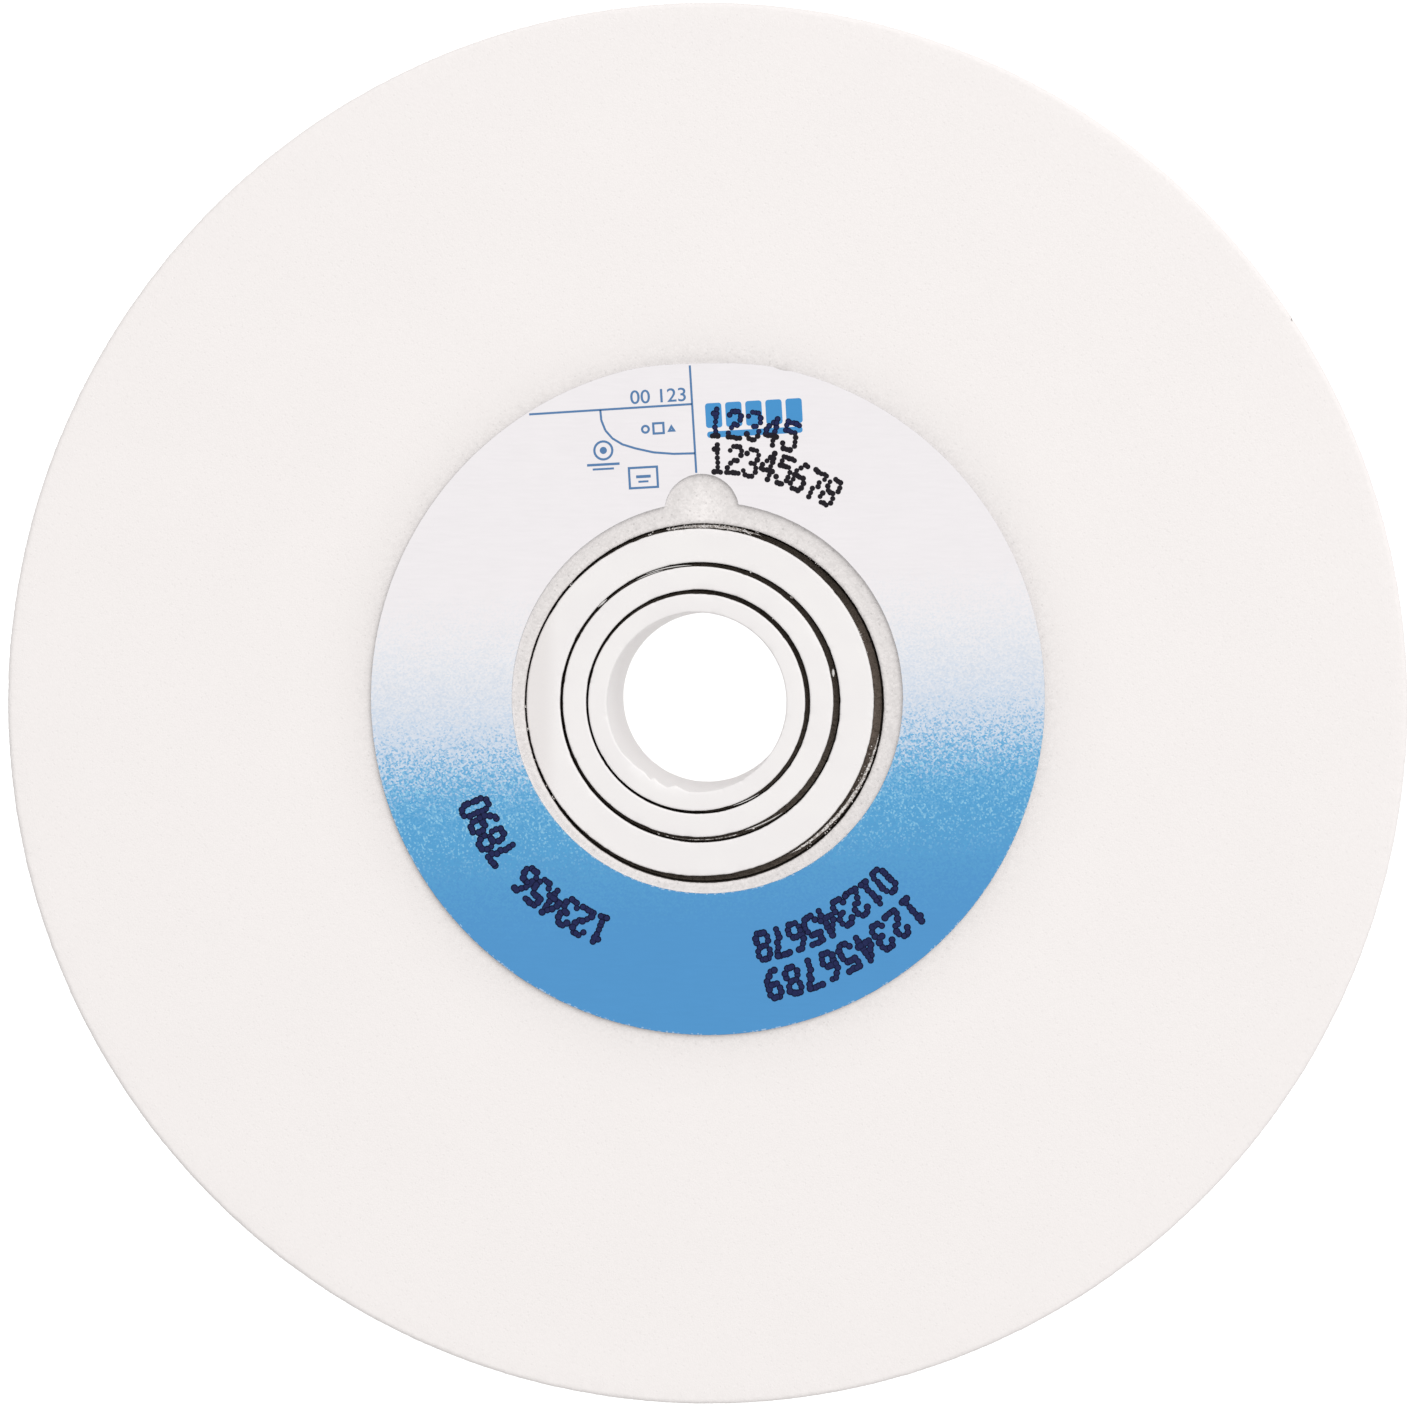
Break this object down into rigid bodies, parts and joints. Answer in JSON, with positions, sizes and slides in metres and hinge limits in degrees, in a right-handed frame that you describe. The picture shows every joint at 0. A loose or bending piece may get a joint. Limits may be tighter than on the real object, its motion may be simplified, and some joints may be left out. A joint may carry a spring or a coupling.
{
  "type": "bench grinding wheel",
  "caption": "White straight grinding wheel with printed paper blotters and nested loose plastic reduction rings in its bore, lying flat.",
  "frame": {"origin": "on the wheel's axis, at the height of the surface that the wheel lies on, which is the rear blotter's underside", "axes": "+Z along the wheel's axis, out of the printed face; +Y towards the notch in the blotters; +X to the right of the printed face"},
  "size_m": [0.125, 0.125, 0.0208],
  "materials": {
    "white_abrasive": "matte",
    "printed_paper": "matte",
    "plain_paper": "matte",
    "ring_plastic": "satin"
  },
  "bodies": {
    "root": {"wheel_body": "white_abrasive", "front_blotter": "printed_paper", "rear_blotter": "plain_paper", "large_reduction_ring": "ring_plastic", "middle_reduction_ring": "ring_plastic", "small_reduction_ring": "ring_plastic"}
  },
  "joints": []
}
